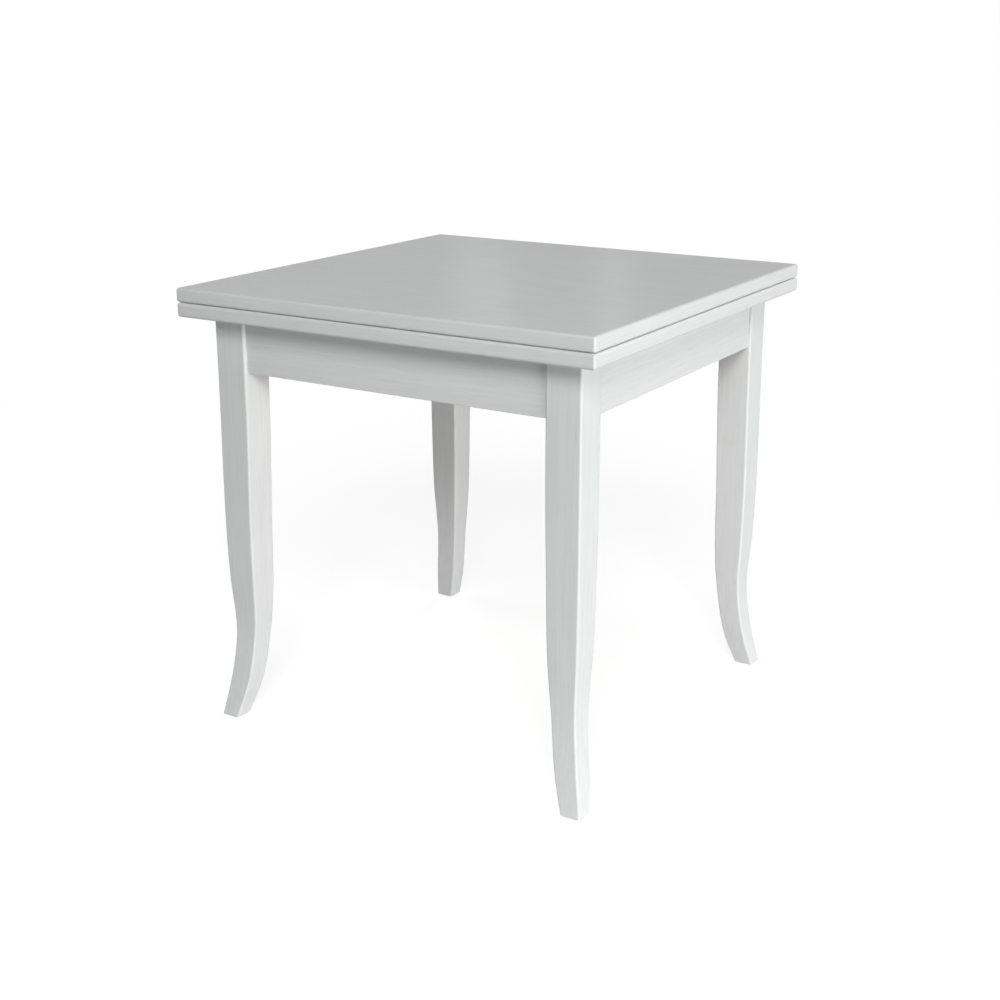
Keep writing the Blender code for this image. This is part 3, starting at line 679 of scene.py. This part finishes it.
# Hinges
# Three flush hinges let into the meeting faces: two nickel-plated plates, a link and two steel pins each.
# Every plate is held by three countersunk screws, and the pins let the upper leaf turn right over.
NICKEL_BRIGHT = (0.64, 0.61, 0.56, 1.0)
NICKEL_DULL = (0.50, 0.47, 0.42, 1.0)
NICKEL_ROUGHNESS = 0.30
HINGES = (1, 2, 3)
PLATE_SCREWS = (0.020, 0.034, 0.047)
SINK_RADIUS = 0.0040
SHANK_RADIUS = 0.0020
SCREW_DEPTH = 0.0028
SCREW_BELOW_FACE = 0.00015

nickel = plated("satin_nickel", NICKEL_BRIGHT, NICKEL_DULL, NICKEL_ROUGHNESS)
taper = SINK_RADIUS - SHANK_RADIUS
bpy.ops.object.select_all(action="DESELECT")
bpy.ops.mesh.primitive_cone_add(
    vertices=ROUND_STEPS, radius1=SHANK_RADIUS, radius2=SINK_RADIUS, depth=taper, location=(0, 0, -taper / 2)
)
sunk_screw = bpy.context.object
bpy.ops.object.transform_apply()
edit_faces(sunk_screw, lambda spot, normal: normal.z < -FACING)
draw_out(taper - SCREW_DEPTH, 1.0)
bpy.ops.object.mode_set(mode="OBJECT")
cut_cross(sunk_screw, 0.0)
soften(sunk_screw)
sunk_screw.data.materials.append(nickel)

hinge_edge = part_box("lower_leaf")[0].x
for number in HINGES:
    for level, body in (("lower", "sliding_top"), ("upper", "folding_leaf")):
        node = f"hinge_plate_{level}_{number}"
        fit(dressed(f"flush_plate_{level}_{number}", node, nickel), body, "satin_nickel", node)
        low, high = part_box(node)
        face_up = level == "lower"
        height = high.z - SCREW_BELOW_FACE if face_up else low.z + SCREW_BELOW_FACE
        places = []
        for inset in PLATE_SCREWS:
            seat = Matrix.Translation((hinge_edge + inset, (low.y + high.y) / 2, height))
            places.append(seat if face_up else seat @ downwards)
        fit(set_out(f"plate_screws_{level}_{number}", sunk_screw, places), body, "satin_nickel")
        node = f"hinge_pin_{level}_{number}"
        fit(dressed(f"steel_pin_{level}_{number}", node, zinc), "hinge_links", "zinc_steel", node)
    node = f"hinge_link_{number}"
    fit(dressed(f"pin_link_{number}", node, nickel), "hinge_links", "satin_nickel", node)
bpy.data.objects.remove(sunk_screw)


# Upper leaf
# The same leaf turned face down on the lower one, with a fine gap between them all round.
# Shut, it is the table's top; opened, it lies level beside the lower leaf.
fit(lacquered_leaf("upper_table_leaf", "upper_leaf"), "folding_leaf", "white_lacquer", "upper_leaf")


# Studio
# A white floor fades into a white room and keeps the table's shadow. The key light is high at front right.
# Low boxes light the sides, one hangs overhead, and two strips behind show as soft upright bands in the top.
FLOOR_SIDE = 60.0
PAPER_NEAR = (0.80, 0.80, 0.80, 1.0)
PAPER_FAR = (0.15, 0.15, 0.15, 1.0)
PAPER_START = 0.7
PAPER_END = 1.7
FLOOR_SEEN = (0.48, 0.48, 0.48, 1.0)
FLOOR_GLOW = 0.75
FADE_START = 1.3
FADE_END = 2.8
WHITE = (1.0, 1.0, 1.0, 1.0)
WHITE_GLOW = 1.0
ROOM_LIGHT = 0.03
AIM = Vector((0.0, 0.0, 0.55))


def seen_directly(tree):
    """1 for rays from the camera and for reflected or refracted ones, else 0."""
    path = add_node(tree, "ShaderNodeLightPath").outputs
    seen = path["Is Camera Ray"]
    for kind in ("Is Glossy Ray", "Is Transmission Ray"):
        seen = add_node(tree, "ShaderNodeMath", {0: seen, 1: path[kind]}, operation="MAXIMUM").outputs[0]
    return seen


def blend_of(tree, mask, first, second):
    """Shader that goes from the first to the second with a mask."""
    return add_node(tree, "ShaderNodeMixShader", {0: mask, 1: first, 2: second}).outputs[0]


def soft_box(name, place, size, power, shines):
    """Rectangular area light aimed at the table, seen in reflections only if it shines."""
    bpy.ops.object.light_add(type="AREA", location=place)
    lamp = bpy.context.object
    lamp.name = name
    lamp.data.shape = "RECTANGLE"
    lamp.data.size, lamp.data.size_y = size
    lamp.data.energy = power
    lamp.rotation_euler = (AIM - Vector(place)).to_track_quat("-Z", "Y").to_euler()
    lamp.visible_glossy = shines


bpy.ops.object.select_all(action="DESELECT")
bpy.ops.mesh.primitive_plane_add(size=FLOOR_SIDE, location=(0, 0, cad_low.z))
floor = bpy.context.object
floor.name = "studio_floor"
bpy.ops.object.transform_apply()
floor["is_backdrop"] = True
paper = bpy.data.materials.new("white_paper")
paper.use_nodes = True
tree = paper.node_tree
tree.nodes.clear()
spot = add_node(tree, "ShaderNodeTexCoord").outputs["Object"]
away = add_node(tree, "ShaderNodeVectorMath", {0: spot}, operation="LENGTH").outputs["Value"]
sheet = tint(tree, spread(tree, away, PAPER_START, PAPER_END), PAPER_NEAR, PAPER_FAR)
bare = add_node(tree, "ShaderNodeBsdfDiffuse", {"Color": sheet}).outputs[0]
shaded = add_node(tree, "ShaderNodeBsdfDiffuse", {"Color": FLOOR_SEEN}).outputs[0]
glow = add_node(tree, "ShaderNodeEmission", {"Strength": FLOOR_GLOW}).outputs[0]
lifted = add_node(tree, "ShaderNodeAddShader", {0: shaded, 1: glow}).outputs[0]
white = add_node(tree, "ShaderNodeEmission", {"Strength": WHITE_GLOW}).outputs[0]
seen = blend_of(tree, spread(tree, away, FADE_START, FADE_END), lifted, white)
above = blend_of(tree, seen_directly(tree), bare, seen)
clear = add_node(tree, "ShaderNodeBsdfTransparent").outputs[0]
below = add_node(tree, "ShaderNodeNewGeometry").outputs["Backfacing"]
add_node(tree, "ShaderNodeOutputMaterial", {"Surface": blend_of(tree, below, above, clear)})
floor.data.materials.append(paper)

room = bpy.data.worlds.new("white_room")
room.use_nodes = True
bpy.context.scene.world = room
tree = room.node_tree
tree.nodes.clear()
ambient = add_node(tree, "ShaderNodeBackground", {"Color": WHITE, "Strength": ROOM_LIGHT}).outputs[0]
backdrop = add_node(tree, "ShaderNodeBackground", {"Color": WHITE, "Strength": WHITE_GLOW}).outputs[0]
add_node(tree, "ShaderNodeOutputWorld", {"Surface": blend_of(tree, seen_directly(tree), ambient, backdrop)})

for name, place, size, power, shines in (
    ("front_soft_box", (2.6, -4.3, 3.85), (2.3, 2.3), 187.0, False),
    ("right_soft_box", (6.6, -1.1, 0.9), (3.6, 1.7), 280.0, False),
    ("low_soft_box", (1.6, -3.0, 0.45), (1.6, 0.8), 8.0, False),
    ("left_soft_box", (-6.0, 0.3, 0.6), (3.0, 2.4), 220.0, False),
    ("back_soft_box", (-0.3, 6.0, 0.6), (3.0, 2.4), 220.0, False),
    ("overhead_soft_box", (0.0, 0.0, 4.2), (2.4, 2.4), 19.0, True),
    ("wide_strip_box", (-1.83, 2.84, 1.85), (0.22, 1.0), 0.62, True),
    ("narrow_strip_box", (-1.37, 3.10, 1.85), (0.12, 1.0), 0.34, True),
):
    soft_box(name, place, size, power, shines)

bpy.context.scene.view_settings.view_transform = "Standard"


# Camera
# Stands before the near right corner, a little above the top, and looks down through a longish lens.
# The lens isn't shifted, so the upright lines draw together slightly towards the floor.
CAMERA_PLACE = (1.3675, -2.2371, 1.2138)
CAMERA_TURN = math.radians(31.51)
CAMERA_DIP = math.radians(17.69)
CAMERA_LENS = 53.45

bpy.ops.object.camera_add(location=CAMERA_PLACE, rotation=(math.pi / 2 - CAMERA_DIP, 0.0, CAMERA_TURN))
camera = bpy.context.object
camera.data.lens = CAMERA_LENS
bpy.context.scene.camera = camera


# Size note
# The dressed model's box, found the same way as the imported model's box at the start; nothing more is done
# with it here.
low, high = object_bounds()
